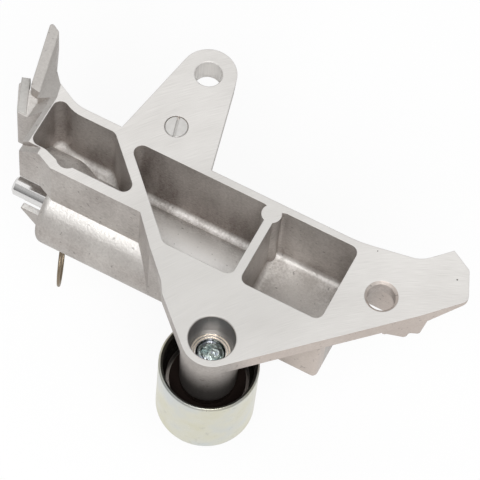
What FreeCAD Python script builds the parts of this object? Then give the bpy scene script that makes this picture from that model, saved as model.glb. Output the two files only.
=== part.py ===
import FreeCAD, Part
import math
import os
import Sketcher
from FreeCAD import Placement, Rotation, Vector

# Timing belt damper: a cast aluminium bracket that bolts to the engine block by its machined
# face, with a hydraulic plunger cast into its left side and a small belt roller bolted to a
# boss on its lower corner. Millimetres. The machined face is the plane Z = 0 and faces +Z, the
# origin is the centre of the upper bolt hole, and the plunger's rod comes out towards -X.
SIZES = {
    # Bolt holes and plug in the machined face
    "bolt_hole_r": 4.25,
    "hole_chamfer": 0.25,
    "right_bevel": 0.85,
    "thread_bevel": 1.1,
    "right_hole_x": 79.4,
    "right_hole_y": -42.0,
    "plug_r": 3.7,
    "plug_y": -21.0,
    "plug_len": 8.0,
    "slot_width": 0.9,
    "slot_depth": 1.2,
    # Lug round the upper hole
    "lug_r": 8.8,
    "lug_thick": 9.0,
    "lug_left": -14.6,
    "lug_right": 16.6,
    # Plate of the machined face, and its long arm
    "plate_thick": 5.5,
    "arm_top": -29.1,
    "arm_bend": 66.0,
    "arm_rise_x": 84.6,
    "arm_rise_y": -25.6,
    "tip_x": 91.9,
    "tip_y": -18.0,
    "end_top_x": 98.6,
    "end_top_y": -21.7,
    "end_right_x": 102.7,
    "end_right_y": -31.0,
    "edge_low_x": 92.0,
    "edge_low_y": -42.4,
    "tip_edge": 1.2,
    # Walls and pockets of the box behind the face
    "wall": 2.8,
    "rim": 2.4,
    "box_left": -38.4,
    "box_low": -51.9,
    "box_deep_low": -60.8,
    "corner_a": 4.2,
    "corner_b": 12.3,
    "box_right": 69.8,
    "depth_one": 26.0,
    "depth_two": 29.5,
    "depth_three": 27.0,
    "floor": 3.2,
    "third_floor": 6.8,
    "low_edge_r": 2.2,
    "pocket_r": 2.6,
    "floor_r": 2.4,
    "post_x": 39.0,
    "post_y": -33.4,
    "post_r": 3.1,
    # Roller boss on the lower corner
    "roller_x": 42.0,
    "roller_y": -78.0,
    "nose_r": 9.2,
    "nose_foot_x": 22.6,
    "nose_foot_y": -72.5,
    "boss_r": 9.1,
    "boss_end": -26.0,
    "boss_tip_r": 8.6,
    "counterbore_r": 7.0,
    "counterbore_deep": 12.0,
    "thread_r": 4.05,
    # Plunger cylinder, cast along X
    "cyl_y": -47.0,
    "cyl_z": -32.2,
    "cyl_r": 12.8,
    "cyl_mouth": -28.5,
    "cyl_end": 22.0,
    "bore_r": 8.5,
    "bore_end": 17.5,
    "hump_r": 15.4,
    "mouth_r": 2.4,
    "dip_r": 3.3,
    "dip_deep": 17.5,
    "groove_r": 9.0,
    "groove_front": -27.85,
    "groove_width": 1.1,
    "step_x": -31.5,
    "step_y": -49.5,
    "cut_front": -28.5,
    "pin_x": -23.7,
    "pin_r": 1.0,
    "pin_hole_r": 1.1,
    "pin_lean": -4.0,
    "fin_y": -50.4,
    "fin_half": 0.9,
    # Horn, tongue and pad at the left end
    "horn_tip_x": -52.8,
    "horn_tip_y": -3.8,
    "tongue_z": -6.0,
    "horn_low": -16.0,
    "horn_turn": 13.65,
    "slope_top": -42.3,
    "slope_foot": -48.8,
    "pad_z": -11.0,
    "pad_low": -31.0,
    "pad_y": -34.8,
    "crest_x": -36.3,
    # Tip of the long arm
    "web_turn": 45.0,
    "web_face": 94.2,
    "web_thick": 4.0,
    "rib_low": -30.0,
    # Plunger parts, measured along X from the frame's origin and out from the rod's axis
    "rod_r": 3.25,
    "rod_tip": -41.6,
    "rod_back": -3.0,
    "spigot_r": 2.0,
    "spigot_end": 2.0,
    "notch_r": 1.75,
    "notch_deep": 2.2,
    "piston_r": 5.97,
    "piston_back": 6.0,
    "sleeve_out": 8.47,
    "sleeve_in": 6.0,
    "sleeve_front": -15.0,
    "guide_front": -26.75,
    "guide_back": -19.2,
    "guide_in": 3.3,
    "seal_in": 3.28,
    "ring_in": 7.3,
    "coil_r": 4.3,
    "coil_wire": 0.55,
    "coil_pitch": 2.2,
    "ball_r": 1.5,
    # Lock pin and its ring
    "pin_tip": -1.1,
    "pin_end": -13.6,
    "eye_mid": -16.4,
    "eye_r": 2.6,
    "eye_wire": 0.6,
    "ring_r": 7.9,
    "ring_wire": 0.5,
    "swing_gap": 0.03,
    "swing_turn": -68.0,
    "swing_stored": 75.0,
    # Belt roller and its bearing
    "roller_r": 15.1,
    "roller_front": -18.5,
    "roller_back": -46.0,
    "shell_in": 13.7,
    "lip_in": 12.6,
    "race_front": -29.0,
    "race_back": -41.0,
    "race_mid": -35.0,
    "outer_in": 11.6,
    "inner_out": 8.2,
    "inner_back": -44.0,
    "bolt_hole": 4.05,
    "ball_track": 9.9,
    "bearing_ball_r": 2.9,
    "groove_ball_r": 2.95,
    "cage_in": 9.0,
    "cage_out": 10.8,
    "cage_back": -35.6,
    "cage_front": -30.6,
    "cage_hole": 3.05,
    # Roller bolt
    "bolt_r": 4.0,
    "bolt_top": -9.6,
    "flange_r": 8.0,
    "flange_back": -45.6,
    "head_across": 13.0,
    "head_back": -50.5,
}

BALLS = 8


def value(text):
    """The number that a sum of named sizes, such as "arm_top - rim", stands for."""
    total = 0.0
    sign = 1.0
    for word in text.split():
        if word in "+-":
            sign = 1.0 if word == "+" else -1.0
            continue
        total += sign * (SIZES[word] if word in SIZES else float(word))
        sign = 1.0
    return total


def bound(text):
    """The same sum as an expression on the spreadsheet's cells."""
    return " ".join("Sizes." + word if word in SIZES else word for word in text.split())


doc = FreeCAD.newDocument("timing_belt_damper")
sheet = doc.addObject("Spreadsheet::Sheet", "Sizes")
for row, (alias, number) in enumerate(SIZES.items(), start=1):
    sheet.set("A%d" % row, alias)
    sheet.set("B%d" % row, str(number))
    sheet.setAlias("B%d" % row, alias)
doc.recompute()


def new_body(name):
    body = doc.addObject("PartDesign::Body", name)
    body.Label = name
    return body


def new_sketch(body, name, plane, turn=None):
    """A sketch on one of the body's own origin planes, moved or turned in it by a placement."""
    sketch = body.newObject("Sketcher::SketchObject", name)
    origin_plane = [f for f in body.Origin.OriginFeatures if f.Role == plane][0]
    sketch.AttachmentSupport = [(origin_plane, "")]
    sketch.MapMode = "FlatFace"
    if turn:
        sketch.AttachmentOffset = turn
    return sketch


def pin_point(sketch, geometry, end, x, y):
    """Holds a point of the sketch at two named sums, measured from the sketch's origin."""
    for kind, text in (("DistanceX", x), ("DistanceY", y)):
        index = sketch.addConstraint(Sketcher.Constraint(kind, -1, 1, geometry, end, value(text)))
        sketch.setExpression("Constraints[%d]" % index, bound(text))


def short_arc(sketch, centre, radius, start, stop):
    """Adds the shorter arc between two points; also gives its ends that lie at start and stop."""
    angles = [math.atan2(p.y - centre.y, p.x - centre.x) for p in (start, stop)]
    ring = Part.Circle(centre, Vector(0, 0, 1), radius)
    if (angles[1] - angles[0]) % (2 * math.pi) < math.pi:
        return sketch.addGeometry(Part.ArcOfCircle(ring, angles[0], angles[1])), 1, 2
    return sketch.addGeometry(Part.ArcOfCircle(ring, angles[1], angles[0])), 2, 1


def outline(sketch, corners):
    """A closed outline of straight sides. Each corner is (x, y) or (x, y, radius), as sums."""
    points = [Vector(value(c[0]), value(c[1]), 0) for c in corners]
    count = len(points)
    starts, ends, arcs = [], [], {}
    for i, corner in enumerate(corners):
        before, here, after = points[i - 1], points[i], points[(i + 1) % count]
        if len(corner) == 2:
            starts.append(here)
            ends.append(here)
            continue
        u = (before - here).normalize()
        v = (after - here).normalize()
        half = math.acos(max(-1.0, min(1.0, u.dot(v)))) / 2
        radius = value(corner[2])
        reach = radius / math.tan(half)
        ends.append(here + u * reach)
        starts.append(here + v * reach)
        arcs[i] = here + (u + v).normalize() * (radius / math.sin(half))
    lines = [sketch.addGeometry(Part.LineSegment(starts[i], ends[(i + 1) % count]))
             for i in range(count)]
    for i, corner in enumerate(corners):
        coming, leaving = lines[i - 1], lines[i]
        if i not in arcs:
            sketch.addConstraint(Sketcher.Constraint("Coincident", coming, 2, leaving, 1))
            pin_point(sketch, leaving, 1, corner[0], corner[1])
            continue
        arc, first, last = short_arc(sketch, arcs[i], value(corner[2]), ends[i], starts[i])
        sketch.addConstraint(Sketcher.Constraint("Tangent", coming, 2, arc, first))
        sketch.addConstraint(Sketcher.Constraint("Tangent", arc, last, leaving, 1))
        index = sketch.addConstraint(Sketcher.Constraint("Radius", arc, value(corner[2])))
        sketch.setExpression("Constraints[%d]" % index, bound(corner[2]))
        apex = sketch.addGeometry(Part.Point(points[i]), True)
        pin_point(sketch, apex, 1, corner[0], corner[1])
        sketch.addConstraint(Sketcher.Constraint("PointOnObject", apex, 1, coming))
        sketch.addConstraint(Sketcher.Constraint("PointOnObject", apex, 1, leaving))


def circle(sketch, x, y, radius):
    index = sketch.addGeometry(Part.Circle(Vector(value(x), value(y), 0), Vector(0, 0, 1),
                                           value(radius)))
    pin_point(sketch, index, 3, x, y)
    constraint = sketch.addConstraint(Sketcher.Constraint("Radius", index, value(radius)))
    sketch.setExpression("Constraints[%d]" % constraint, bound(radius))


def pad(body, sketch, length, reverse=True, taper=None):
    feature = body.newObject("PartDesign::Pad", sketch.Name + "_pad")
    feature.Profile = sketch
    feature.Length = value(length)
    feature.setExpression("Length", bound(length))
    feature.Reversed = reverse
    if taper:
        feature.TaperAngle = taper
    sketch.Visibility = False
    doc.recompute()
    return feature


def pocket(body, sketch, length, reverse=False):
    feature = body.newObject("PartDesign::Pocket", sketch.Name + "_cut")
    feature.Profile = sketch
    feature.Length = value(length)
    feature.setExpression("Length", bound(length))
    feature.Reversed = reverse
    doc.recompute()
    return feature


def edges_at(shape, test):
    """Names of the shape's edges whose middle point passes a test."""
    names = []
    for number, edge in enumerate(shape.Edges, start=1):
        middle = edge.valueAt((edge.FirstParameter + edge.LastParameter) / 2)
        if test(edge, middle):
            names.append("Edge%d" % number)
    return names


def fillet(body, name, radius, test):
    base = body.Tip
    feature = body.newObject("PartDesign::Fillet", name)
    feature.Base = (base, edges_at(base.Shape, test))
    feature.Radius = value(radius)
    feature.setExpression("Radius", bound(radius))
    doc.recompute()
    return feature


def tab(sketch, x, y, radius, base_a, base_b):
    """A rounded tab: an arc about (x, y) with a tangent side to each base point."""
    centre = Vector(value(x), value(y), 0)
    reach = value(radius)
    feet = [Vector(value(p[0]), value(p[1]), 0) for p in (base_a, base_b)]
    touches = []
    for foot, other in (feet, feet[::-1]):
        span = foot - centre
        lean = math.acos(reach / span.Length)
        angle = math.atan2(span.y, span.x)
        both = [centre + Vector(math.cos(a), math.sin(a), 0) * reach
                for a in (angle + lean, angle - lean)]
        touches.append(max(both, key=lambda point: (point - other).Length))
    far = centre - ((feet[0] + feet[1]) * 0.5 - centre).normalize() * reach
    side_a = sketch.addGeometry(Part.LineSegment(feet[0], touches[0]))
    angles = [math.atan2(p.y - centre.y, p.x - centre.x) for p in touches]
    ring = Part.Circle(centre, Vector(0, 0, 1), reach)
    aim = math.atan2(far.y - centre.y, far.x - centre.x)
    ahead = (aim - angles[0]) % (2 * math.pi) < (angles[1] - angles[0]) % (2 * math.pi)
    first, last = (1, 2) if ahead else (2, 1)
    arc = sketch.addGeometry(Part.ArcOfCircle(ring, *(angles if ahead else angles[::-1])))
    side_b = sketch.addGeometry(Part.LineSegment(touches[1], feet[1]))
    base = sketch.addGeometry(Part.LineSegment(feet[1], feet[0]))
    sketch.addConstraint(Sketcher.Constraint("Tangent", side_a, 2, arc, first))
    sketch.addConstraint(Sketcher.Constraint("Tangent", arc, last, side_b, 1))
    sketch.addConstraint(Sketcher.Constraint("Coincident", side_b, 2, base, 1))
    sketch.addConstraint(Sketcher.Constraint("Coincident", base, 2, side_a, 1))
    pin_point(sketch, arc, 3, x, y)
    index = sketch.addConstraint(Sketcher.Constraint("Radius", arc, reach))
    sketch.setExpression("Constraints[%d]" % index, bound(radius))
    pin_point(sketch, side_a, 1, *base_a)
    pin_point(sketch, side_b, 2, *base_b)


def at(x, y, z, turn=None):
    """A placement for a sketch or a body; the turn is (axis, degrees)."""
    spin = Rotation(Vector(*turn[0]), value(turn[1])) if turn else Rotation()
    return Placement(Vector(value(x), value(y), value(z)), spin)


def shift_z(text):
    return at("0", "0", text)


def turned(name, corners, place, upright=True, wholes=()):
    """A turned piece. Corners are (radius, height) if upright, else (x, radius)."""
    body = new_body(name)
    body.Placement = place
    sketch = new_sketch(body, name + "_profile", "XZ_Plane")
    outline(sketch, corners)
    for hole in wholes:
        circle(sketch, *hole)
    feature = body.newObject("PartDesign::Revolution", name + "_turning")
    feature.Profile = sketch
    feature.ReferenceAxis = (sketch, ["V_Axis" if upright else "H_Axis"])
    feature.Angle = 360
    doc.recompute()
    return body


def follow(body, x=None, y=None, z=None):
    """Ties the body's place to the spreadsheet."""
    for axis, text in (("x", x), ("y", y), ("z", z)):
        if text:
            body.setExpression("Placement.Base." + axis, bound(text))


def groove(body, sketch, upright=True):
    feature = body.newObject("PartDesign::Groove", sketch.Name + "_groove")
    feature.Profile = sketch
    feature.ReferenceAxis = (sketch, ["V_Axis" if upright else "H_Axis"])
    feature.Angle = 360
    doc.recompute()
    return feature


def chamfer(body, name, width, test):
    base = body.Tip
    feature = body.newObject("PartDesign::Chamfer", name)
    feature.Base = (base, edges_at(base.Shape, test))
    feature.Size = value(width)
    feature.setExpression("Size", bound(width))
    doc.recompute()
    return feature


def face_plates(body):
    """Plate of the machined face with its arm, roller nose and upper lug."""
    arm = new_sketch(body, "arm_plate", "XY_Plane")
    outline(arm, [
        ("lug_left", "arm_top"),
        ("arm_bend", "arm_top", "40.0"),
        ("arm_rise_x", "arm_rise_y", "9.0"),
        ("tip_x", "tip_y"),
        ("end_top_x", "end_top_y", "2.0"),
        ("end_right_x", "end_right_y", "2.5"),
        ("edge_low_x", "edge_low_y"),
        ("roller_x", "roller_y + 4.0"),
        ("nose_foot_x", "nose_foot_y"),
        ("nose_foot_x - 2.4", "nose_foot_y + 3.8", "8.0"),
        ("corner_b", "box_deep_low"),
        ("corner_a", "box_low"),
        ("lug_left", "box_low"),
    ])
    pad(body, arm, "plate_thick")
    nose = new_sketch(body, "roller_nose", "XY_Plane")
    tab(nose, "roller_x", "roller_y", "nose_r",
        ("nose_foot_x", "nose_foot_y"), ("edge_low_x", "edge_low_y"))
    pad(body, nose, "plate_thick")
    lug = new_sketch(body, "upper_lug", "XY_Plane")
    tab(lug, "0.0", "0.0", "lug_r", ("lug_left", "arm_top - 2.0"), ("lug_right", "arm_top - 2.0"))
    pad(body, lug, "lug_thick", taper=-3.0)


def box_and_horn(body):
    """Three blocks that the pockets are cored from, and the horn and pad at the left."""
    one = new_sketch(body, "box_one", "XY_Plane")
    outline(one, [
        ("box_left", "step_y"),
        ("step_x", "step_y"),
        ("step_x + 5.2", "box_low"),
        ("corner_a + 1.8", "box_low"),
        ("corner_a + 1.8", "box_low + 2.9"),
        ("lug_left + 0.7", "arm_top"),
        ("-29.5", "arm_top", "12.0"),
        ("box_left", "-24.6"),
    ])
    pad(body, one, "depth_one + floor")
    two = new_sketch(body, "box_two", "XY_Plane")
    outline(two, [
        ("lug_left - 3.2", "arm_top"),
        ("corner_a + 0.8", "box_low"),
        ("corner_a", "box_low"),
        ("corner_b", "box_deep_low"),
        ("post_x", "box_deep_low"),
        ("post_x", "arm_top"),
    ])
    pad(body, two, "depth_two + floor")
    three = new_sketch(body, "box_three", "XY_Plane")
    outline(three, [
        ("post_x - 1.4", "arm_top"),
        ("post_x - 1.4", "box_deep_low"),
        ("box_right", "box_deep_low", "1.5"),
        ("box_right", "arm_top"),
    ])
    pad(body, three, "depth_three + third_floor")
    low = -value("depth_three + third_floor")
    fillet(body, "third_box_edges", "low_edge_r", lambda edge, middle: abs(middle.z - low) < 0.01
           and (abs(middle.y - value("box_deep_low")) < 0.6 or middle.x > value("box_right") - 0.6))
    horn = new_sketch(body, "horn", "XY_Plane")
    outline(horn, [
        ("horn_tip_x", "horn_tip_y", "0.8"),
        ("horn_tip_x + 4.0", "horn_tip_y - 2.2", "1.0"),
        ("-43.2", "-18.2", "20.0"),
        ("-37.9", "-24.8"),
        ("crest_x", "-27.0"),
        ("crest_x", "-33.0"),
        ("-43.3", "-29.5"),
        ("-43.3", "-27.9"),
        ("-46.9", "-27.3", "0.8"),
    ])
    pad(body, horn, "0 - horn_low")
    block = new_sketch(body, "end_pad", "XY_Plane", shift_z("pad_z"))
    outline(block, [
        ("-53.0", "-23.6", "1.0"),
        ("-47.6", "pad_y", "1.5"),
        ("box_left + 0.5", "pad_y"),
        ("box_left + 0.5", "-26.0"),
        ("-47.9", "-26.0", "1.0"),
    ])
    pad(body, block, "pad_z - pad_low")
    joint = new_sketch(body, "pad_shoulder", "XZ_Plane", at("0", "0", "0 - pad_y"))
    outline(joint, [
        ("box_left + 0.4", "-1.8"),
        ("-43.8", "pad_z"),
        ("-43.8", "horn_low"),
        ("box_left + 0.4", "horn_low"),
    ])
    pad(body, joint, "7.3")


def boss_and_ribs(body):
    boss = new_sketch(body, "roller_boss", "XY_Plane", shift_z("0 - 4.0"))
    circle(boss, "roller_x", "roller_y", "boss_r")
    pad(body, boss, "0 - boss_end - 4.0", taper=-1.3)
    rib = new_sketch(body, "arm_rib", "XZ_Plane", at("0", "0", "0 - arm_top"))
    outline(rib, [
        ("box_right - 1.0", "-1.0"),
        ("box_right - 1.0", "rib_low"),
        ("84.0", "rib_low", "2.0"),
        ("92.0", "-12.0", "2.0"),
        ("93.0", "-4.0"),
        ("90.0", "-1.0"),
    ])
    pad(body, rib, "2.6", reverse=False)
    web = new_sketch(body, "tip_web", "XZ_Plane", Placement(
        Vector(0, 0, 0), Rotation(Vector(0, 1, 0), value("web_turn"))) * at("0", "0", "web_face"))
    outline(web, [
        ("24.5", "-1.5"),
        ("24.5", "-8.6", "1.5"),
        ("25.9", "-8.6", "1.5"),
        ("33.0", "-15.6", "0.8"),
        ("33.4", "-12.5", "0.6"),
        ("37.2", "-15.4", "0.6"),
        ("39.9", "-1.5"),
    ])
    pad(body, web, "web_thick")
    return body


def pockets(body):
    """Cored pockets with rounded corners and floors; a round post stands between two of them."""
    one = new_sketch(body, "pocket_one", "XY_Plane")
    outline(one, [
        ("crest_x + 0.3", "-46.9", "pocket_r"),
        ("-30.6", "-46.9", "5.0"),
        ("-25.8", "-48.6", "5.0"),
        ("1.7", "-48.6", "pocket_r"),
        ("-15.1", "-31.8", "pocket_r"),
        ("-29.5", "-31.8", "12.0"),
        ("crest_x + 0.2", "-28.3", "pocket_r"),
    ])
    pocket(body, one, "depth_one")
    two = new_sketch(body, "pocket_two", "XY_Plane")
    outline(two, [
        ("-10.9", "arm_top - rim + 0.1", "pocket_r"),
        ("14.9", "box_deep_low + 3.3", "pocket_r"),
        ("post_x - 1.4", "box_deep_low + 3.3", "pocket_r"),
        ("post_x - 1.4", "arm_top - rim + 0.1", "pocket_r"),
    ])
    pocket(body, two, "depth_two")
    three = new_sketch(body, "pocket_three", "XY_Plane")
    outline(three, [
        ("post_x + 1.3", "arm_top - rim + 0.3", "pocket_r"),
        ("post_x + 1.3", "box_deep_low + 2.9", "pocket_r"),
        ("box_right - wall", "box_deep_low + 2.9", "pocket_r"),
        ("box_right - wall", "arm_top - rim + 0.3", "pocket_r"),
    ])
    pocket(body, three, "depth_three")


def on_floor(depth, low, high):
    """A test for the edges round a pocket's floor between two x values."""
    level = -value(depth)
    return lambda edge, middle: abs(middle.z - level) < 0.01 and low < middle.x < high and (
        abs(edge.valueAt(edge.FirstParameter).z - level) < 0.01)


def rounded_back(body, name, radius, side_y, low_z, start, length):
    """A segment about the rod's axis, flat at one side and below, that stands in a pocket."""
    reach = value(radius)
    middle = Vector(value("cyl_y"), value("cyl_z"), 0)
    rise = math.sqrt(reach ** 2 - (value(side_y) - middle.x) ** 2)
    run = math.sqrt(reach ** 2 - (value(low_z) - middle.y) ** 2)
    left = Vector(value(side_y), middle.y + rise, 0)
    right = Vector(middle.x + run, value(low_z), 0)
    corner = Vector(value(side_y), value(low_z), 0)
    sketch = new_sketch(body, name, "YZ_Plane", at("0", "0", start))
    arc, first, last = short_arc(sketch, middle, reach, left, right)
    low = sketch.addGeometry(Part.LineSegment(right, corner))
    side = sketch.addGeometry(Part.LineSegment(corner, left))
    sketch.addConstraint(Sketcher.Constraint("Coincident", arc, last, low, 1))
    sketch.addConstraint(Sketcher.Constraint("Coincident", low, 2, side, 1))
    sketch.addConstraint(Sketcher.Constraint("Coincident", side, 2, arc, first))
    pin_point(sketch, arc, 3, "cyl_y", "cyl_z")
    index = sketch.addConstraint(Sketcher.Constraint("Radius", arc, reach))
    sketch.setExpression("Constraints[%d]" % index, bound(radius))
    pin_point(sketch, low, 2, side_y, low_z)
    sketch.addConstraint(Sketcher.Constraint("Horizontal", low))
    sketch.addConstraint(Sketcher.Constraint("Vertical", side))
    pad(body, sketch, length, reverse=False)


def cylinder_and_cuts(body):
    post = new_sketch(body, "post", "XY_Plane")
    circle(post, "post_x - 0.3", "post_y", "post_r")
    pad(body, post, "depth_two + 1.0")
    rounded_back(body, "lever_hump", "hump_r", "step_y + 0.5", "0 - depth_one - 1.0",
                 "box_left", "cyl_mouth + wall - box_left")
    rounded_back(body, "back_in_two", "cyl_r", "box_deep_low + 3.0", "0 - depth_two - 1.0",
                 "cyl_end - 0.5", "post_x - cyl_end + 0.5")
    barrel = new_sketch(body, "cylinder", "YZ_Plane", at("0", "0", "cyl_mouth"))
    circle(barrel, "cyl_y", "cyl_z", "cyl_r")
    pad(body, barrel, "cyl_end - cyl_mouth", reverse=False)
    clear = new_sketch(body, "lever_clearance", "YZ_Plane", at("0", "0", "cut_front"))
    circle(clear, "cyl_y", "cyl_z", "cyl_r")
    pocket(body, clear, "40.0")
    rim = new_sketch(body, "mouth_rim", "XZ_Plane", at("0", "cyl_z", "0 - cyl_y"))
    outline(rim, [
        ("cyl_mouth - 0.3", "0 - cyl_r - 0.3"),
        ("cyl_mouth + mouth_r + 0.1", "0 - cyl_r - 0.3"),
        ("cyl_mouth + mouth_r + 0.1", "0 - cyl_r"),
        ("cyl_mouth", "0 - cyl_r", "mouth_r"),
        ("cyl_mouth", "0 - cyl_r + mouth_r + 0.1"),
        ("cyl_mouth - 0.3", "0 - cyl_r + mouth_r + 0.1"),
    ])
    groove(body, rim, upright=False)
    dip = new_sketch(body, "pin_dip", "XY_Plane")
    circle(dip, "pin_x + 0.4", "cyl_y + 0.4", "dip_r")
    pocket(body, dip, "dip_deep")
    fin = new_sketch(body, "fin", "XZ_Plane", at("0", "0", "0 - fin_y - fin_half"))
    outline(fin, [
        ("-38.0", "-36.4", "0.6"),
        ("-32.0", "-44.0", "1.0"),
        ("cyl_mouth + 1.0", "-44.0"),
        ("cyl_mouth + 1.0", "-36.4"),
    ])
    pad(body, fin, "fin_half + fin_half", reverse=False)
    lean = Rotation(Vector(1, 0, 0), value("pin_lean"))
    cross = new_sketch(body, "pin_hole", "XY_Plane",
                       Placement(Vector(0, value("cyl_y"), value("cyl_z")), lean))
    circle(cross, "pin_x", "0", "pin_hole_r")
    pocket(body, cross, "cyl_r + 3.0")
    bore = new_sketch(body, "bore", "YZ_Plane", at("0", "0", "cyl_mouth"))
    circle(bore, "cyl_y", "cyl_z", "bore_r")
    pocket(body, bore, "bore_end - cyl_mouth", reverse=True)
    ring = new_sketch(body, "ring_groove", "YZ_Plane", at("0", "0", "groove_front"))
    circle(ring, "cyl_y", "cyl_z", "groove_r + 0.05")
    pocket(body, ring, "groove_width", reverse=True)


def rim_of(x, y, z, radius):
    """A test for the round edge of a hole."""
    centre = Vector(value(x), value(y), value(z))
    return lambda edge, middle: (
        abs(middle.z - centre.z) < 0.01
        and abs((middle - centre).Length - value(radius)) < 0.01)


def holes_and_slopes(body):
    upper = new_sketch(body, "upper_hole", "XY_Plane")
    circle(upper, "0", "0", "bolt_hole_r")
    pocket(body, upper, "lug_thick")
    right = new_sketch(body, "right_hole", "XY_Plane")
    circle(right, "right_hole_x", "right_hole_y", "bolt_hole_r")
    pocket(body, right, "plate_thick")
    plug = new_sketch(body, "plug_hole", "XY_Plane")
    circle(plug, "0", "plug_y", "plug_r")
    pocket(body, plug, "plug_len")
    wide = new_sketch(body, "counterbore", "XY_Plane")
    circle(wide, "roller_x", "roller_y", "counterbore_r")
    pocket(body, wide, "counterbore_deep")
    thread = new_sketch(body, "thread_hole", "XY_Plane", shift_z("0 - counterbore_deep"))
    circle(thread, "roller_x", "roller_y", "thread_r")
    pocket(body, thread, "0 - boss_end - counterbore_deep")
    chamfer(body, "upper_chamfer", "hole_chamfer", rim_of("0", "0", "0", "bolt_hole_r"))
    chamfer(body, "right_chamfer", "right_bevel",
            rim_of("right_hole_x", "right_hole_y", "0", "bolt_hole_r"))
    chamfer(body, "thread_chamfer", "thread_bevel",
            rim_of("roller_x", "roller_y", "0 - counterbore_deep", "thread_r"))
    chamfer(body, "counterbore_chamfer", "hole_chamfer",
            rim_of("roller_x", "roller_y", "0", "counterbore_r"))
    slope = new_sketch(body, "horn_slope", "XZ_Plane", Placement(
        Vector(0, 0, 0), Rotation(Vector(0, 1, 0), value("horn_turn"))) * at("0", "0", "20.4"))
    outline(slope, [
        ("slope_top", "0.0"),
        ("slope_foot", "tongue_z", "1.0"),
        ("-60.0", "tongue_z"),
        ("-60.0", "3.0"),
        ("slope_top", "3.0"),
    ])
    pocket(body, slope, "32.0")
    crest = new_sketch(body, "crest_slope", "XZ_Plane", at("0", "0", "51.0"))
    outline(crest, [
        ("crest_x", "0.0"),
        ("box_left - 0.2", "-2.3"),
        ("box_left - 5.4", "pad_z"),
        ("box_left - 8.0", "pad_z"),
        ("box_left - 8.0", "3.0"),
        ("crest_x", "3.0"),
    ])
    pocket(body, crest, "21.3")
    corner = new_sketch(body, "corner_slope", "XZ_Plane", at("0", "0", "52.0"))
    outline(corner, [
        ("-32.0", "0.0"),
        ("box_left - 1.0", "-4.5"),
        ("box_left - 1.0", "3.0"),
        ("-32.0", "3.0"),
    ])
    pocket(body, corner, "4.8")
    thin = new_sketch(body, "tip_thinning", "XZ_Plane", at("0", "0", "48.0"))
    outline(thin, [
        ("94.5", "0 - plate_thick - 0.5"),
        ("94.5", "0 - plate_thick"),
        ("103.2", "0 - tip_edge"),
        ("108.0", "0 - tip_edge"),
        ("108.0", "0 - plate_thick - 0.5"),
    ])
    pocket(body, thin, "40.0")


def bracket_housing():
    """The one casting: face plate, lug, box with three pockets, roller boss and cylinder."""
    body = new_body("bracket_housing")
    for step in (face_plates, box_and_horn, boss_and_ribs, pockets):
        step(body)
    fillet(body, "floor_one", "floor_r", on_floor("depth_one", -38, 2))
    fillet(body, "floor_two", "floor_r", on_floor("depth_two", -12, 38))
    fillet(body, "floor_three", "floor_r", on_floor("depth_three", 40, 68))
    cylinder_and_cuts(body)
    holes_and_slopes(body)
    return body


def slotted_plug():
    """Round plug flush with the machined face, with a screwdriver slot."""
    body = turned("slotted_plug", [
        ("0", "0"), ("plug_r - 0.4", "0"), ("plug_r", "-0.4"), ("plug_r", "0 - plug_len"),
        ("0", "0 - plug_len")], at("0", "plug_y", "0"))
    follow(body, y="plug_y")
    slot = new_sketch(body, "slot", "XY_Plane", at("0", "0", "0", ((0, 0, 1), "-75.0")))
    outline(slot, [
        ("0 - plug_r - 1.0", "-0.45"), ("plug_r + 1.0", "-0.45"),
        ("plug_r + 1.0", "0.45"), ("0 - plug_r - 1.0", "0.45")])
    pocket(body, slot, "slot_depth")
    return body


def along_rod(name, corners, holes=()):
    """A piece turned about the rod's axis. Corners are (x, radius)."""
    body = turned(name, corners, at("0", "cyl_y", "cyl_z"), upright=False)
    follow(body, y="cyl_y", z="cyl_z")
    return body


def leaning():
    """The sketch plane across the lock pin, in a piece that is turned about the rod's axis."""
    return Placement(Vector(0, 0, 0), Rotation(Vector(1, 0, 0), value("pin_lean")))


def plunger():
    rod = along_rod("piston_rod", [
        ("rod_tip", "0"), ("rod_tip", "rod_r - 0.8"), ("rod_tip + 0.8", "rod_r"),
        ("rod_back", "rod_r"), ("rod_back", "spigot_r"), ("spigot_end", "spigot_r"),
        ("spigot_end", "0")])
    notch = new_sketch(rod, "lock_notch", "XY_Plane", leaning() * shift_z("0 - 6.0"))
    circle(notch, "pin_x", "0", "notch_r")
    pocket(rod, notch, "6.0 - rod_r + notch_deep", reverse=True)
    piston = along_rod("piston", [
        ("rod_back", "spigot_r"), ("rod_back", "piston_r - 0.4"), ("rod_back + 0.4", "piston_r"),
        ("rod_back + 3.0", "piston_r"), ("rod_back + 3.0", "piston_r - 0.5"),
        ("rod_back + 4.0", "piston_r - 0.5"), ("rod_back + 4.0", "piston_r"),
        ("piston_back", "piston_r"), ("piston_back", "2.9"), ("piston_back - 1.2", "2.9"),
        ("piston_back - 2.2", "1.2"), ("spigot_end", "1.2"), ("spigot_end", "spigot_r")])
    ball = new_body("check_ball")
    sketch = new_sketch(ball, "ball_profile", "XZ_Plane")
    half_disc(sketch, "ball_r")
    spun(ball, sketch)
    ball.Placement = at("piston_back - 1.14", "cyl_y", "cyl_z")
    follow(ball, x="piston_back - 1.14", y="cyl_y", z="cyl_z")
    cage = along_rod("valve_cage", [
        ("piston_back", "1.8"), ("piston_back", "3.6"), ("piston_back + 0.5", "3.6"),
        ("piston_back + 0.5", "2.4"), ("piston_back + 1.6", "2.4"), ("piston_back + 1.6", "0.5"),
        ("piston_back + 1.1", "0.5"), ("piston_back + 1.1", "1.8")])
    return [rod, piston, ball, cage]


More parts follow.
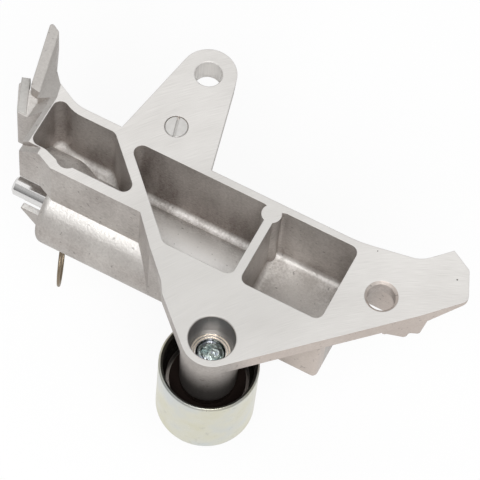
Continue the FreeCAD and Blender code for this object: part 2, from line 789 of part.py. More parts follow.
def half_disc(sketch, radius):
    """Half a disc beside the sketch's upright axis, for a ball."""
    reach = value(radius)
    ring = Part.Circle(Vector(0, 0, 0), Vector(0, 0, 1), reach)
    arc = sketch.addGeometry(Part.ArcOfCircle(ring, -math.pi / 2, math.pi / 2))
    chord = sketch.addGeometry(Part.LineSegment(Vector(0, reach, 0), Vector(0, -reach, 0)))
    sketch.addConstraint(Sketcher.Constraint("Coincident", arc, 2, chord, 1))
    sketch.addConstraint(Sketcher.Constraint("Coincident", arc, 1, chord, 2))
    sketch.addConstraint(Sketcher.Constraint("Coincident", arc, 3, -1, 1))
    sketch.addConstraint(Sketcher.Constraint("Vertical", chord))
    index = sketch.addConstraint(Sketcher.Constraint("Radius", arc, reach))
    sketch.setExpression("Constraints[%d]" % index, bound(radius))


def spun(body, sketch):
    feature = body.newObject("PartDesign::Revolution", sketch.Name + "_turning")
    feature.Profile = sketch
    feature.ReferenceAxis = (sketch, ["V_Axis"])
    feature.Angle = 360
    doc.recompute()


def cylinder_fittings():
    sleeve = along_rod("pressure_sleeve", [
        ("sleeve_front", "sleeve_in + 0.5"), ("sleeve_front", "sleeve_out"),
        ("bore_end", "sleeve_out"), ("bore_end", "1.0"), ("bore_end - 1.5", "1.0"),
        ("bore_end - 1.5", "sleeve_in"), ("sleeve_front + 0.5", "sleeve_in")])
    guide = along_rod("rod_guide", [
        ("guide_front", "guide_in + 0.4"), ("guide_front", "bore_r - 0.3"),
        ("guide_front + 0.3", "bore_r"), ("guide_back", "bore_r"), ("guide_back", "guide_in"),
        ("guide_front + 0.4", "guide_in")])
    cross = new_sketch(guide, "guide_hole", "XY_Plane", leaning())
    circle(cross, "pin_x", "0", "pin_hole_r")
    pocket(guide, cross, "bore_r + 2.0")
    seal = along_rod("rod_seal", [
        ("guide_back", "seal_in"), ("guide_back", "bore_r"), ("sleeve_front", "bore_r"),
        ("sleeve_front", "seal_in + 1.6"), ("sleeve_front - 1.2", "seal_in + 1.2"),
        ("sleeve_front - 1.2", "seal_in")])
    ring = along_rod("snap_ring", [
        ("guide_front - 1.0", "ring_in"), ("guide_front - 1.0", "groove_r"),
        ("guide_front", "groove_r"), ("guide_front", "ring_in")])
    gap = new_sketch(ring, "ring_gap", "XZ_Plane", at("0", "0", "0 - groove_r - 1.0"))
    outline(gap, [
        ("guide_front - 2.0", "-2.2"), ("guide_front + 1.0", "-2.2"),
        ("guide_front + 1.0", "2.2"), ("guide_front - 2.0", "2.2")])
    pocket(ring, gap, "groove_r + 1.0", reverse=True)
    spring = new_body("return_spring")
    wire = new_sketch(spring, "wire", "XZ_Plane")
    circle(wire, "coil_r", "piston_back + coil_wire", "coil_wire")
    coil = spring.newObject("PartDesign::AdditiveHelix", "coil")
    coil.Profile = wire
    coil.ReferenceAxis = (wire, ["V_Axis"])
    coil.Mode = 0
    coil.Pitch = value("coil_pitch")
    coil.setExpression("Pitch", bound("coil_pitch"))
    coil.Height = value("bore_end - 1.5 - coil_wire - coil_wire - piston_back")
    coil.setExpression("Height", bound("bore_end - 1.5 - coil_wire - coil_wire - piston_back"))
    doc.recompute()
    spring.Placement = at("0", "cyl_y", "cyl_z", ((0, 1, 0), "90.0"))
    follow(spring, y="cyl_y", z="cyl_z")
    return [sleeve, guide, seal, ring, spring]


def lock():
    """Lock pin with its eye, and the pull ring that hangs in the eye."""
    lean = ((1, 0, 0), "pin_lean")
    pin = turned("lock_pin", [
        ("0", "pin_tip"), ("pin_r - 0.3", "pin_tip"), ("pin_r", "pin_tip - 0.3"),
        ("pin_r", "pin_end"), ("0", "pin_end")], at("pin_x", "cyl_y", "cyl_z", lean))
    follow(pin, x="pin_x", y="cyl_y", z="cyl_z")
    turn = Rotation(Vector(0, 1, 0), value("swing_turn"))
    eye = new_sketch(pin, "eye_section", "XZ_Plane",
                     Placement(Vector(0, value("eye_mid"), 0), turn))
    circle(eye, "0", "eye_r", "eye_wire")
    loop = pin.newObject("PartDesign::Revolution", "eye")
    loop.Profile = eye
    loop.ReferenceAxis = (eye, ["H_Axis"])
    loop.Angle = 360
    doc.recompute()
    ring = new_body("lock_ring")
    section = new_sketch(ring, "ring_section", "XZ_Plane")
    circle(section, "ring_r", "0", "ring_wire")
    spun(ring, section)
    bar = pin.Placement.multVec(Vector(0, 0, value("eye_mid - eye_r")))
    angle = math.radians(value("swing_turn"))
    outward = Vector(math.cos(angle), math.sin(angle), 0)
    hinge = Vector(-outward.y, outward.x, 0)
    reach = value("ring_r - ring_wire - eye_wire - swing_gap")
    rise = math.radians(value("swing_stored"))
    centre = bar + outward * (reach * math.sin(rise)) - Vector(0, 0, reach * math.cos(rise))
    ring.Placement = Placement(centre, Rotation(outward, Vector(0, 0, -1), hinge, "ZXY"))
    return [pin, ring]


def bearing():
    place = at("roller_x", "roller_y", "0")
    shell = turned("roller_shell", [
        ("roller_r", "roller_front - 0.5"), ("roller_r", "roller_back + 0.5"),
        ("roller_r - 0.5", "roller_back"), ("shell_in + 0.3", "roller_back"),
        ("shell_in", "roller_back + 0.3"), ("shell_in", "race_front"),
        ("lip_in", "race_front"), ("lip_in", "race_front + 1.2"),
        ("shell_in", "race_front + 2.6"), ("shell_in", "roller_front - 0.8"),
        ("shell_in + 0.8", "roller_front"), ("roller_r - 0.5", "roller_front")], place)
    outer = turned("bearing_outer_ring", [
        ("shell_in", "race_front"), ("shell_in", "race_back"), ("outer_in", "race_back"),
        ("outer_in", "race_front")], place)
    inner = turned("bearing_inner_ring", [
        ("bolt_hole", "boss_end"), ("inner_out - 0.4", "boss_end"),
        ("inner_out", "boss_end - 0.4"), ("inner_out", "inner_back + 0.4"),
        ("inner_out - 0.4", "inner_back"), ("bolt_hole", "inner_back")], place)
    for body in (outer, inner):
        track = new_sketch(body, body.Name + "_track", "XZ_Plane")
        circle(track, "ball_track", "race_mid", "groove_ball_r")
        groove(body, track)
    cage = turned("ball_cage", [
        ("cage_in", "cage_back"), ("cage_in", "cage_front"),
        ("cage_out", "cage_front"), ("cage_out", "cage_back")], place)
    seals = []
    for name, edge, sign in (("front_seal", "race_front", " - "), ("rear_seal", "race_back", " + ")):
        seals.append(turned(name, [
            ("inner_out + 0.05", edge + sign + "0.3"), ("inner_out + 0.05", edge + sign + "1.0"),
            ("outer_in", edge + sign + "1.0"), ("outer_in", edge + sign + "0.3")], place))
    for body in [shell, outer, inner, cage] + seals:
        follow(body, x="roller_x", y="roller_y")
    window = new_sketch(cage, "ball_window", "XZ_Plane")
    circle(window, "0", "race_mid", "cage_hole")
    cut = pocket(cage, window, "cage_out + 2.0")
    round_it = cage.newObject("PartDesign::PolarPattern", "windows")
    round_it.Originals = [cut]
    round_it.Axis = (window, ["V_Axis"])
    round_it.Angle = 360
    round_it.Occurrences = BALLS
    cage.Tip = round_it
    doc.recompute()
    return [shell, outer, inner, cage] + seals


def bearing_balls():
    """All balls of the bearing in one piece of the list."""
    balls = []
    for number in range(BALLS):
        ball = doc.addObject("Part::Sphere", "ball_%d" % number)
        angle = "%.1f" % (90 + 360 * number / BALLS)
        ball.setExpression("Radius", "Sizes.bearing_ball_r")
        ball.setExpression("Placement.Base.x",
                           "Sizes.roller_x + Sizes.ball_track * cos(%s)" % angle)
        ball.setExpression("Placement.Base.y",
                           "Sizes.roller_y + Sizes.ball_track * sin(%s)" % angle)
        ball.setExpression("Placement.Base.z", "Sizes.race_mid")
        balls.append(ball)
    together = doc.addObject("Part::Compound", "bearing_balls")
    together.Label = "bearing_balls"
    together.Links = balls
    doc.recompute()
    return together


def roller_bolt():
    """Flanged hexagon bolt that comes from behind and shows its end in the counterbore."""
    body = turned("roller_bolt", [
        ("0", "bolt_top"), ("bolt_r - 1.5", "bolt_top - 0.15"),
        ("bolt_r - 0.5", "bolt_top - 0.5"), ("bolt_r", "bolt_top - 1.1"),
        ("bolt_r", "inner_back"), ("flange_r", "inner_back"), ("flange_r", "flange_back"),
        ("0", "flange_back")], at("roller_x", "roller_y", "0"))
    follow(body, x="roller_x", y="roller_y")
    head = new_sketch(body, "hexagon", "XY_Plane", shift_z("flange_back"))
    corner = value("head_across") / math.sqrt(3)
    outline(head, [("%.4f" % (corner * math.cos(math.radians(60 * k + 10))),
                    "%.4f" % (corner * math.sin(math.radians(60 * k + 10)))) for k in range(6)])
    pad(body, head, "flange_back - head_back")
    return body


built = [bracket_housing(), slotted_plug()]
built += plunger()
built += cylinder_fittings()
built += lock()
built += bearing()
built += [bearing_balls(), roller_bolt()]
doc.recompute()

for thing in doc.Objects:
    if "Invalid" in thing.State or "Error" in thing.State:
        raise RuntimeError("%s is %s" % (thing.Name, thing.State))
os.makedirs("parts", exist_ok=True)
for piece in built:
    if piece.Shape.isNull() or not piece.Shape.isValid() or not piece.Shape.Solids:
        raise RuntimeError("%s has no valid shape" % piece.Label)
    piece.Shape.exportStep("parts/%s.step" % piece.Label)
    print(piece.Label, round(piece.Shape.Volume, 1), len(piece.Shape.Solids))
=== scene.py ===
"""Timing belt damper on a white ground: cast aluminium bracket, plunger, lock ring and roller.

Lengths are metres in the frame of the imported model: the machined face is the plane z = 0, the
origin is the centre of the upper bolt hole, and the plunger's rod comes out towards -x.
"""
import math

import bpy
from mathutils import Matrix, Vector


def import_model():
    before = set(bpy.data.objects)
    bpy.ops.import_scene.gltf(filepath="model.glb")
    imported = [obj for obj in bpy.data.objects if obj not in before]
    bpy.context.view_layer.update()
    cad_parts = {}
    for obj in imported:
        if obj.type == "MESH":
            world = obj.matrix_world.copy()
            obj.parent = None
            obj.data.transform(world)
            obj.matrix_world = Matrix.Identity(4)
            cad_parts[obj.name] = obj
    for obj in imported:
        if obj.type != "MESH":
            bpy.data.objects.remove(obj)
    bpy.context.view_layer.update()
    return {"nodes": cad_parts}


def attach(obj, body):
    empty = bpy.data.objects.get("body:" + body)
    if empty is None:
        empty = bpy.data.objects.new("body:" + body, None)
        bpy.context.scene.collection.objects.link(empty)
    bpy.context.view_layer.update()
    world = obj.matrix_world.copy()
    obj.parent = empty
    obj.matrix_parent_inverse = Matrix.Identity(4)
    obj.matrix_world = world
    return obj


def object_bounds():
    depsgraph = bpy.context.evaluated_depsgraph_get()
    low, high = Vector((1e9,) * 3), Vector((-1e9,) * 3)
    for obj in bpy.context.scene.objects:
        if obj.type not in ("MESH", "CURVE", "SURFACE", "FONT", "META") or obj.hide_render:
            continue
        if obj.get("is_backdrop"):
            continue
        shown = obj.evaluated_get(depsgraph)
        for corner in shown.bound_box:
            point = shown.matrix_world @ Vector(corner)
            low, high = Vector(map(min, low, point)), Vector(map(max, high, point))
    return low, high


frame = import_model()

MM = 0.001

# Where the photograph was taken from
CAMERA_DISTANCE = 798.8 * MM
CAMERA_AZIMUTH = math.radians(21.0)
CAMERA_ELEVATION = math.radians(63.0)
CAMERA_ROLL = math.radians(7.14)
CAMERA_AIM = Vector((34.46, -45.76, 0.0)) * MM
LENS = 202.5
SENSOR_WIDTH = 36.0

# Studio light and ground
LAMP_AIM = Vector((0.03, -0.04, -0.02))
SKY_LOW = (0.22, 0.22, 0.22)
SKY_HIGH = (0.6, 0.6, 0.6)
FLOOR_SIZE = 6.0
FLOOR_DROP = 36.0 * MM
FLOOR_COLOUR = (0.92, 0.92, 0.92)
FLOOR_BOUNCE = (0.5, 0.49, 0.48)
FLOOR_WHITENESS = 0.88

# Places on the casting
FACE_Z = -0.03 * MM
CUTTER_CENTRE = (150.0 * MM, -150.0 * MM)
# Middle of the painted shade that dulls the sheen of the milled face
DIM_SHEEN_CENTRE = (34.0 * MM, -66.0 * MM)
UPPER_HOLE_R = 5.2 * MM
UPPER_HOLE_Z = -14.0 * MM
ROLLER_X = 42.0 * MM
ROLLER_Y = -78.0 * MM
BOSS_R = 9.4 * MM
COUNTERBORE_R = 7.3 * MM
CYLINDER_Y = -47.0 * MM
CYLINDER_Z = -32.2 * MM
CYLINDER_R = 13.3 * MM
CYLINDER_END = 41.0 * MM
BOX_FRONT_Y = -56.0 * MM

# Open pores in the milled face: x, y and radius in millimetres
PORES = ((71.9, -29.2, 0.32), (96.7, -26.3, 0.42), (104.3, -36.2, 0.3))

# Colours of the casting, in linear light
MILLED_DARK = (0.62, 0.60, 0.575)
MILLED_LIGHT = (0.79, 0.77, 0.745)
# Painted shade: the duller sheen of the milled face round its middle
MILLED_DIM_SHEEN = (0.52, 0.51, 0.49)
PORE_COLOUR = (0.12, 0.11, 0.10)
SKIN_DARK = (0.34, 0.305, 0.283)
SKIN_LIGHT = (0.57, 0.537, 0.505)
# Painted light: paler colour of the skin on upward faces
SKIN_LIT_TOP = (0.70, 0.685, 0.66)
# Painted reflection: warm, lighter colour on the walls under the box and the right arm
WARM_REFLECTION = (0.74, 0.62, 0.545)
# Painted highlight along the top of the cylinder
CYLINDER_HIGHLIGHT = (1.0, 0.985, 0.96)
SPECK_COLOUR = (0.11, 0.095, 0.085)
# Painted shade on the walls of hollows and pockets
SHADED_WALL_DARK = (0.22, 0.18, 0.16)
SHADED_WALL_LIGHT = (0.50, 0.455, 0.425)
# Painted light on the upward floors of the pockets
LIT_FLOOR_DARK = (0.52, 0.49, 0.46)
LIT_FLOOR_LIGHT = (1.0, 0.98, 0.95)
# Painted shade on the boss under the plate
BOSS_SHADE = (0.085, 0.077, 0.073)
# Painted shade inside the counterbore, in a cool grey
COUNTERBORE_SHADE = (0.10, 0.102, 0.105)


class Sock:
    """One socket of a node tree, so that shader maths reads as an expression."""

    def __init__(self, nodes, socket):
        self.nodes = nodes
        self.socket = socket

    def _maths(self, operation, first, second):
        return self.nodes.node("ShaderNodeMath", {"operation": operation}, {0: first, 1: second})

    def __add__(self, other):
        return self._maths("ADD", self, other)

    def __radd__(self, other):
        return self._maths("ADD", other, self)

    def __mul__(self, other):
        return self._maths("MULTIPLY", self, other)

    def __rmul__(self, other):
        return self._maths("MULTIPLY", other, self)

    def __sub__(self, other):
        return self._maths("SUBTRACT", self, other)

    def __rsub__(self, other):
        return self._maths("SUBTRACT", other, self)

    def __gt__(self, other):
        return self._maths("GREATER_THAN", self, other)

    def __lt__(self, other):
        return self._maths("LESS_THAN", self, other)

    def clamped(self):
        return self.nodes.node("ShaderNodeClamp", {}, {"Value": self})


class Nodes:
    """A node tree, with one way to add a node and short names for the few kinds used here."""

    def __init__(self, tree):
        self.tree = tree

    def node(self, kind, settings, values, output=0):
        """Adds a node, sets it up, a ramp's stops among its settings, and fills its sockets."""
        made = self.tree.nodes.new(kind)
        for key, setting in settings.items():
            if key == "stops":
                marks = made.color_ramp.elements
                while len(marks) < len(setting):
                    marks.new(0.5)
                for mark, (position, colour) in zip(marks, setting):
                    mark.position = position
                    mark.color = (*colour, 1.0)
            else:
                setattr(made, key, setting)
        for key, value in values.items():
            self.feed(made.inputs[key], value)
        return Sock(self, made.outputs[output])

    def feed(self, socket, value):
        if isinstance(value, Sock):
            self.tree.links.new(value.socket, socket)
        else:
            socket.default_value = value

    def along(self, axis, vector):
        """One part of a vector, along X, Y or Z."""
        return self.node("ShaderNodeSeparateXYZ", {}, {0: vector}, output=axis)

    def ramp(self, fac, *stops):
        """Colour ramp through (position, colour) stops."""
        return self.node("ShaderNodeValToRGB", {"stops": stops}, {0: fac})

    def step(self, value, low, high):
        """0 at low, 1 at high, straight between and level outside."""
        return self.node("ShaderNodeMapRange", {"clamp": True}, {
            "Value": value, "From Min": low, "From Max": high})

    def mix(self, fac, first, second):
        """Colour mix; plain colours are three numbers."""
        values = {"Factor": fac}
        for key, colour in ((6, first), (7, second)):
            values[key] = colour if isinstance(colour, Sock) else (*colour, 1.0)
        return self.node("ShaderNodeMix", {"data_type": "RGBA"}, values, output=2)


class Finish(Nodes):
    """A material under construction."""

    def __init__(self, name):
        self.material = bpy.data.materials.new(name)
        self.material.use_nodes = True
        super().__init__(self.material.node_tree)
        self.shader = self.tree.nodes["Principled BSDF"]
        self.place = self.node("ShaderNodeTexCoord", {}, {}, output="Object")

    def surface(self, **values):
        """Sets or links the shader's sockets; base_color stands for Base Color, and so on."""
        for key, value in values.items():
            self.feed(self.shader.inputs[key.replace("_", " ").title()], value)
        return self.material

    def reach(self, across, along, centre_across, centre_along):
        """Distance from an axis, in the plane of two object coordinates."""
        across = across - centre_across
        along = along - centre_along
        return self.node("ShaderNodeMath", {"operation": "SQRT"}, {
            0: across * across + along * along})

    def openness(self, distance):
        """1 on open surfaces, towards 0 deep in a hollow."""
        return self.node("ShaderNodeAmbientOcclusion", {"samples": 8}, {"Distance": distance},
                         output="AO")

    def facing_up(self):
        """Upward part of the surface's own direction, out of the mounting face."""
        return self.along("Z", self.node("ShaderNodeTexCoord", {}, {}, output="Normal"))

    def noise(self, scale, detail=3.0, rough=0.5, at=None):
        return self.node("ShaderNodeTexNoise", {}, {
            "Vector": at or self.place, "Scale": scale, "Detail": detail, "Roughness": rough})

    def stretched(self, factors):
        """Object coordinates scaled by a factor for each axis."""
        return self.node("ShaderNodeMapping", {}, {"Vector": self.place, "Scale": factors})

    def soft_edges(self, radius):
        """Normal that rounds sharp edges over the radius."""
        return self.node("ShaderNodeBevel", {"samples": 6}, {"Radius": radius})

    def bump(self, height, distance, strength, under=None):
        """Bump normal, over a softened normal where one is given."""
        values = {"Height": height, "Distance": distance, "Strength": strength}
        if under:
            values["Normal"] = under
        return self.node("ShaderNodeBump", {}, values)


def milled_metal(finish, x, y, cloud):
    """Colour of the milled face, the marks of the wide cutter that swept over it, and a painted
    duller sheen round the middle of the face.
    """
    sweep = finish.node("ShaderNodeCombineXYZ", {}, {
        "X": finish.reach(x, y, *CUTTER_CENTRE), "Y": x * 0.02, "Z": 0.0})
    marks = finish.noise(9000.0, 2.0, 0.6, sweep)
    bands = finish.noise(60.0, 2.0, 0.5, sweep)
    colour = finish.ramp(marks * 0.5 + bands * 0.3 + cloud * 0.2,
                         (0.36, MILLED_DARK), (0.62, MILLED_LIGHT))
    # Painted shade: the milled face is painted darker round its middle, standing in for its uneven
    # sheen
    dim_sheen = finish.step(finish.reach(x, y, *DIM_SHEEN_CENTRE), 60.0 * MM, 15.0 * MM)
    colour = finish.mix(dim_sheen * 0.5, colour, MILLED_DIM_SHEEN)
    pits = finish.step(finish.noise(330.0, 1.0), 0.80, 0.815)
    for pore_x, pore_y, pore_r in PORES:
        away = finish.reach(x, y, pore_x * MM, pore_y * MM)
        pits = (pits + ((away + cloud * (0.3 * MM)) < pore_r * MM)).clamped()
    return finish.mix(pits, colour, PORE_COLOUR), marks


def open_skin(finish, x, y, z, mottle, upward):
    """Cast skin in the open, with painted light: paler on upward faces, a painted warm reflection
    at the lower right and a painted highlight along the top of the cylinder.
    """
    colour = finish.ramp(mottle, (0.36, SKIN_DARK), (0.62, SKIN_LIGHT))
    # Painted light: upward faces are painted paler
    colour = finish.mix(upward * 0.45, colour, SKIN_LIT_TOP)
    # Painted reflection: the walls under the box and the right arm are painted warmer and lighter
    under_box = finish.step(x, 50.0 * MM, 56.0 * MM) * (y < BOX_FRONT_Y)
    under_arm = finish.step(x, 70.0 * MM, 78.0 * MM)
    colour = finish.mix((under_box + under_arm).clamped() * 0.45, colour, WARM_REFLECTION)
    # Painted highlight: a bright band along the upward top of the cylinder
    on_cylinder = finish.reach(y, z, CYLINDER_Y, CYLINDER_Z) < CYLINDER_R
    top_highlight = on_cylinder * (x < CYLINDER_END) * finish.step(finish.facing_up(), 0.7, 0.96)
    return finish.mix(top_highlight * 0.7, colour, CYLINDER_HIGHLIGHT)


def shaded_pocket_skin(finish, stains, grain, upward):
    """Cast skin inside the pockets: painted shade on the walls and painted light on the floors,
    over a streaky mottle.
    """
    walls = finish.ramp(stains * 0.6 + grain * 0.4, (0.38, SHADED_WALL_DARK), (0.60, SHADED_WALL_LIGHT))
    floors = finish.ramp(stains * 0.65 + grain * 0.35,
                         (0.38, LIT_FLOOR_DARK), (0.58, LIT_FLOOR_LIGHT))
    return finish.mix(upward, walls, floors)


def cast_aluminium():
    """Cast skin, milled bright on the mounting face and bored bright in the upper hole, with
    painted shade in the hollows, down the boss and in the counterbore and painted light on the
    pocket floors.
    """
    finish = Finish("cast aluminium")
    x, y, z = [finish.along(axis, finish.place) for axis in "XYZ"]
    cloud = finish.noise(48.0, 3.0)
    grain = finish.noise(1300.0, 3.0, 0.65)
    stains = finish.noise(120.0, 4.0, 0.6, finish.stretched((1.0, 1.0, 0.35)))
    in_hole = finish.reach(x, y, 0.0, 0.0) < UPPER_HOLE_R
    milled = ((z > FACE_Z) + in_hole * (z > UPPER_HOLE_Z)).clamped()
    bright, marks = milled_metal(finish, x, y, cloud)

    upward = finish.step(finish.facing_up(), 0.25, 0.8)
    # Painted shade: surfaces shut in by the walls round them take the darker pocket colours
    hollow_shade = finish.step(finish.openness(14.0 * MM), 0.8, 0.3)
    mottle = cloud * 0.3 + grain * 0.4 + stains * 0.3
    skin = finish.mix(hollow_shade, open_skin(finish, x, y, z, mottle, upward),
                      shaded_pocket_skin(finish, stains, grain, upward))
    from_roller = finish.reach(x, y, ROLLER_X, ROLLER_Y)
    # Painted shade: the boss under the plate is painted dark, more so further down
    shaded_boss_mask = (from_roller < BOSS_R) * finish.step(z, -6.0 * MM, -20.0 * MM)
    skin = finish.mix(shaded_boss_mask * 0.9, skin, BOSS_SHADE)
    # Painted shade: the walls of the counterbore round the bolt are painted dark grey
    in_counterbore = (from_roller < COUNTERBORE_R) * (z < -0.6 * MM)
    skin = finish.mix(in_counterbore * 0.85, skin, COUNTERBORE_SHADE)
    specks = finish.step(finish.noise(700.0, 1.0), 0.70, 0.76)
    skin = finish.mix(specks * 0.45, skin, SPECK_COLOUR)

    height = grain * (1 - milled) + marks * milled * 0.12
    return finish.surface(
        base_color=finish.mix(milled, skin, bright),
        metallic=milled * -0.3 + 0.6 - hollow_shade * upward * 0.45,
        roughness=milled * -0.04 + 0.42 + grain * 0.1,
        normal=finish.bump(height, 0.13 * MM, 0.8, finish.soft_edges(0.3 * MM)))


def roller_zinc():
    """Zinc plating of the roller's shell, with the faint drift of tints of a thin film."""
    greenish = (0.62, 0.60, 0.44)
    cream = (0.66, 0.65, 0.55)
    bluish = (0.60, 0.62, 0.60)
    blot = tuple(0.72 * part for part in cream)
    shaded = (0.04, 0.033, 0.027)
    finish = Finish("roller zinc")
    fine = finish.noise(1500.0, 2.0)
    colour = finish.ramp(finish.noise(60.0, 3.0, 0.6),
                         (0.32, greenish), (0.5, cream), (0.68, bluish))
    blots = finish.step(finish.noise(360.0, 3.0, 0.7), 0.60, 0.68)
    colour = finish.mix(blots * 0.5, colour, blot)
    inside = finish.step(finish.openness(16.0 * MM), 0.75, 0.35)
    return finish.surface(
        base_color=finish.mix(inside, colour, shaded), metallic=0.9,
        roughness=fine * 0.12 + 0.24,
        normal=finish.bump(fine, 0.03 * MM, 0.4, finish.soft_edges(0.2 * MM)))


def dimpled_end():
    """Zinc-plated end of the roller's bolt, rough from cropping and bright on its facets."""
    teal = (0.30, 0.40, 0.39)
    pale = (0.62, 0.70, 0.66)
    blue = (0.55, 0.60, 0.68)
    finish = Finish("bolt zinc")
    colour = finish.ramp(finish.noise(300.0, 2.0), (0.36, teal), (0.5, pale), (0.62, blue))
    return finish.surface(
        base_color=colour, metallic=1.0, roughness=0.14,
        normal=finish.bump(finish.noise(420.0, 3.0, 0.6), 0.9 * MM, 1.0))


def ground_steel():
    """Ground steel with fine marks that run along y, so they lie across the rod."""
    light = (0.80, 0.79, 0.78)
    dark = tuple(0.75 * part for part in light)
    finish = Finish("ground steel")
    marks = finish.noise(3000.0, 1.0, 0.5, finish.stretched((1.0, 0.0, 1.0)))
    return finish.surface(
        base_color=finish.mix(marks, dark, light), metallic=1.0,
        roughness=marks * 0.1 + 0.1, normal=finish.bump(marks, 0.02 * MM, 0.3))


def turned_steps():
    """Bright turned metal with a warm cast."""
    finish = Finish("turned steps")
    return finish.surface(
        base_color=(0.88, 0.84, 0.79, 1.0), metallic=1.0,
        roughness=finish.noise(900.0) * 0.1 + 0.16)


def plain(name, colour, roughness, metallic=0.0, scale=500.0, gloss=0.5):
    """One colour with a slight mottle, for rubber, plastic, steel and the cast end strip."""
    dark = tuple(0.7 * part for part in colour)
    finish = Finish(name)
    finish.shader.inputs["Specular IOR Level"].default_value = gloss
    mottle = finish.noise(scale, 2.0)
    return finish.surface(
        base_color=finish.mix(mottle, dark, colour), metallic=metallic,
        roughness=mottle * 0.1 + roughness, normal=finish.bump(mottle, 0.05 * MM, 0.4))


def node_finishes():
    """The finish of each solid, by the solid's name."""
    bright_steel = ground_steel()
    dark_steel = plain("dark steel", (0.20, 0.19, 0.18), 0.4, 0.7)
    ring_steel = plain("ring steel", (0.30, 0.24, 0.17), 0.35, 0.8)
    seal_rubber = plain("seal rubber", (0.012, 0.006, 0.004), 0.85, gloss=0.2)
    return {
        "bracket_housing": cast_aluminium(),
        "slotted_plug": plain("plug steel", (0.78, 0.765, 0.74), 0.3, 0.6),
        "piston_rod": bright_steel,
        "piston": bright_steel,
        "check_ball": bright_steel,
        "valve_cage": dark_steel,
        "pressure_sleeve": dark_steel,
        "return_spring": dark_steel,
        "rod_guide": dark_steel,
        "rod_seal": plain("rod seal rubber", (0.02, 0.02, 0.02), 0.6),
        "snap_ring": dark_steel,
        "lock_pin": ring_steel,
        "lock_ring": ring_steel,
        "roller_shell": roller_zinc(),
        "bearing_outer_ring": bright_steel,
        "bearing_inner_ring": bright_steel,
        "bearing_balls": bright_steel,
        "ball_cage": plain("cage plastic", (0.55, 0.50, 0.38), 0.5),
        "front_seal": seal_rubber,
        "rear_seal": seal_rubber,
        "roller_bolt": dimpled_end(),
    }


def paint(obj, material):
    obj.data.materials.clear()
    obj.data.materials.append(material)


def deselect_all():
    for obj in bpy.context.selected_objects:
        obj.select_set(False)


def pick(obj, kind, test):
    """Selects, in edit mode, the vertices or edges that pass a test."""
    bpy.ops.mesh.select_mode(type=kind)
    bpy.ops.mesh.select_all(action="DESELECT")
    bpy.ops.object.mode_set(mode="OBJECT")
    for part in {"VERT": obj.data.vertices, "EDGE": obj.data.edges}[kind]:
        part.select = test(part)
    bpy.ops.object.mode_set(mode="EDIT")


def face_outwards():
    bpy.ops.mesh.select_all(action="SELECT")
    bpy.ops.mesh.normals_make_consistent(inside=False)


def finished(obj, name, material):
    """Names the modelled piece, sets its finish and has it move with the casting."""
    bpy.ops.object.mode_set(mode="OBJECT")
    bpy.ops.object.transform_apply(location=True, rotation=True, scale=True)
    obj.name = name
    bpy.ops.object.shade_smooth_by_angle(angle=math.radians(30.0))
    paint(obj, material)
    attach(obj, "housing")


def turned(steps):
    """Closed turned shape round the z axis, from (radius, height) steps in millimetres."""
    first, bottom = steps[0]
    axis = (0.0, 0.0, bottom * MM)
    deselect_all()
    bpy.ops.mesh.primitive_circle_add(vertices=96, radius=first * MM, location=axis)
    shape = bpy.context.object
    bpy.ops.object.mode_set(mode="EDIT")
    bpy.ops.mesh.select_all(action="SELECT")
    for (wide, low), (narrow, high) in zip(steps, steps[1:] + steps[:1]):
        bpy.ops.mesh.extrude_region_move(
            TRANSFORM_OT_translate={"value": (0.0, 0.0, (high - low) * MM)})
        bpy.ops.transform.resize(
            value=(narrow / wide, narrow / wide, 1.0), center_override=axis)
    bpy.ops.mesh.select_all(action="SELECT")
    bpy.ops.mesh.remove_doubles(threshold=0.01 * MM)
    face_outwards()
    bpy.ops.object.mode_set(mode="OBJECT")
    bpy.ops.object.transform_apply(location=True, rotation=True, scale=True)
    return shape


def bore_rings():
    """Turned steps round the end of the roller's bolt, at the bottom of its counterbore."""
    ring = turned([
        (7.02, -12.1), (7.02, -10.0), (6.3, -10.0), (6.1, -9.55), (5.8, -9.55), (5.6, -10.2),
        (5.4, -9.95), (5.15, -9.95), (4.95, -10.6), (4.75, -10.35), (4.5, -10.35),
        (4.3, -11.0), (4.12, -12.1)])
    ring.location = (ROLLER_X, ROLLER_Y, 0.0)
    finished(ring, "bore_rings", turned_steps())


def end_strip():
    """Raised cast strip along the pad of the left end."""
    top = -10.6 * MM
    depth = 4.0 * MM
    corners = {2: (-52.3, -23.3), 3: (-49.7, -22.4), 1: (-44.6, -34.2), 0: (-47.6, -34.6)}
    deselect_all()
    bpy.ops.mesh.primitive_plane_add(size=2.0 * MM, location=(-48.5 * MM, -28.5 * MM, top))
    strip = bpy.context.object
    bpy.ops.object.transform_apply(location=True)
    bpy.ops.object.mode_set(mode="EDIT")
    for number, (x, y) in corners.items():
        pick(strip, "VERT", lambda part: part.index == number)
        start = strip.data.vertices[number].co
        bpy.ops.transform.translate(value=(x * MM - start.x, y * MM - start.y, 0.0))
    bpy.ops.mesh.select_all(action="SELECT")
    bpy.ops.mesh.extrude_region_move(TRANSFORM_OT_translate={"value": (0.0, 0.0, -depth)})
    face_outwards()
    pick(strip, "EDGE", lambda part: all(
        strip.data.vertices[end].co.z > top - 0.1 * MM for end in part.vertices))
    bpy.ops.mesh.bevel(offset=0.3 * MM, segments=3)
    finished(strip, "end_strip", plain("strip skin", (0.60, 0.585, 0.56), 0.45, 0.3, 1300.0))


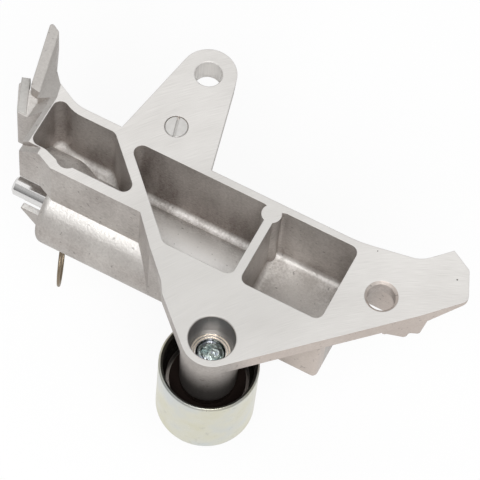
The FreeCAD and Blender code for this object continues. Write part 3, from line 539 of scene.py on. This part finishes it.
def pocket_ramp(skin):
    """Smooth run from the thick end of the cylinder into its back, in the left pocket."""
    thick = 15.38
    slim = 12.75
    start = -26.3
    length = 9.0
    steps = 12
    core = 1.0
    flow = [(core, start)]
    for number in range(steps + 1):
        share = number / steps
        drop = share * share * (3.0 - 2.0 * share)
        flow.append((thick + (slim - thick) * drop, start + length * share))
    flow.append((core, start + length))
    ramp = turned(flow)
    ramp.rotation_euler = (0.0, math.radians(90.0), 0.0)
    ramp.location = (0.0, CYLINDER_Y, CYLINDER_Z)
    bpy.ops.object.transform_apply(location=True, rotation=True)
    bpy.ops.object.mode_set(mode="EDIT")
    cuts = (((0.0, 0.0, -26.6 * MM), (0, 0, -1)), ((0.0, -49.0 * MM, 0.0), (0, -1, 0)))
    for place, away in cuts:
        bpy.ops.mesh.select_all(action="SELECT")
        bpy.ops.mesh.bisect(plane_co=place, plane_no=away, use_fill=True, clear_outer=True,
                            threshold=0.001 * MM)
    face_outwards()
    finished(ramp, "pocket_ramp", skin)


def white_ground():
    """Matt floor that cameras and mirrors see as nearly pure white, with the shadow kept."""
    finish = Finish("white ground")
    camera_ray, mirror_ray, glass_ray = [
        finish.node("ShaderNodeLightPath", {}, {}, output=kind)
        for kind in ("Is Camera Ray", "Is Glossy Ray", "Is Transmission Ray")]
    seen = (camera_ray + mirror_ray + glass_ray).clamped()
    finish.surface(base_color=finish.mix(seen, FLOOR_BOUNCE, FLOOR_COLOUR), roughness=0.9)
    white = finish.node("ShaderNodeEmission", {}, {"Color": (1.0, 1.0, 1.0, 1.0), "Strength": 1.0})
    matt = Sock(finish, finish.shader.outputs[0])
    whole = finish.node("ShaderNodeMixShader", {}, {
        0: seen * FLOOR_WHITENESS, 1: matt, 2: white})
    finish.feed(finish.tree.nodes["Material Output"].inputs["Surface"], whole)
    return finish.material


def floor():
    """Pale floor, low enough for the drawn lock pin to hang clear of it."""
    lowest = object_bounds()[0][2]
    deselect_all()
    bpy.ops.mesh.primitive_plane_add(size=FLOOR_SIZE, location=(0.0, 0.0, lowest - FLOOR_DROP))
    ground = bpy.context.object
    ground.name = "floor"
    paint(ground, white_ground())
    ground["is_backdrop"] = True


def lamp(name, place, size, power):
    """Square soft lamp that points at the part."""
    deselect_all()
    bpy.ops.object.light_add(type="AREA", location=place)
    light = bpy.context.object
    light.name = name
    light.data.size = size
    light.data.energy = power
    aim = LAMP_AIM - Vector(place)
    light.rotation_euler = aim.to_track_quat("-Z", "Y").to_euler()
    light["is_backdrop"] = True


def world():
    """Soft studio light: bright above, dimmer towards the horizon."""
    studio = bpy.data.worlds.new("studio")
    bpy.context.scene.world = studio
    studio.use_nodes = True
    sky = Nodes(studio.node_tree)
    height = sky.along("Z", sky.node("ShaderNodeTexCoord", {}, {}, output="Generated"))
    backdrop = sky.tree.nodes["Background"]
    sky.feed(backdrop.inputs["Color"], sky.ramp(height, (0.05, SKY_LOW), (0.75, SKY_HIGH)))
    sky.feed(backdrop.inputs["Strength"], 1.0)


def camera():
    flat = math.cos(CAMERA_ELEVATION) * CAMERA_DISTANCE
    eye = CAMERA_AIM + Vector((math.sin(CAMERA_AZIMUTH) * flat, -math.cos(CAMERA_AZIMUTH) * flat,
                               math.sin(CAMERA_ELEVATION) * CAMERA_DISTANCE))
    deselect_all()
    bpy.ops.object.camera_add(location=eye)
    view = bpy.context.object
    turn = (CAMERA_AIM - eye).to_track_quat("-Z", "Y").to_matrix().to_4x4()
    view.matrix_world = Matrix.Translation(eye) @ turn @ Matrix.Rotation(CAMERA_ROLL, 4, "Z")
    view.data.lens = LENS
    view.data.sensor_width = SENSOR_WIDTH
    bpy.context.scene.camera = view


finishes = node_finishes()
for name, node in frame["nodes"].items():
    paint(node, finishes[name])

bore_rings()
end_strip()
pocket_ramp(finishes["bracket_housing"])

floor()
lamp("main lamp", place=(0.32, -0.68, 1.0), size=0.7, power=11.0)
lamp("fill lamp", place=(-0.5, 0.1, 1.0), size=0.9, power=1.5)
world()
camera()
bpy.context.scene.view_settings.view_transform = "Standard"
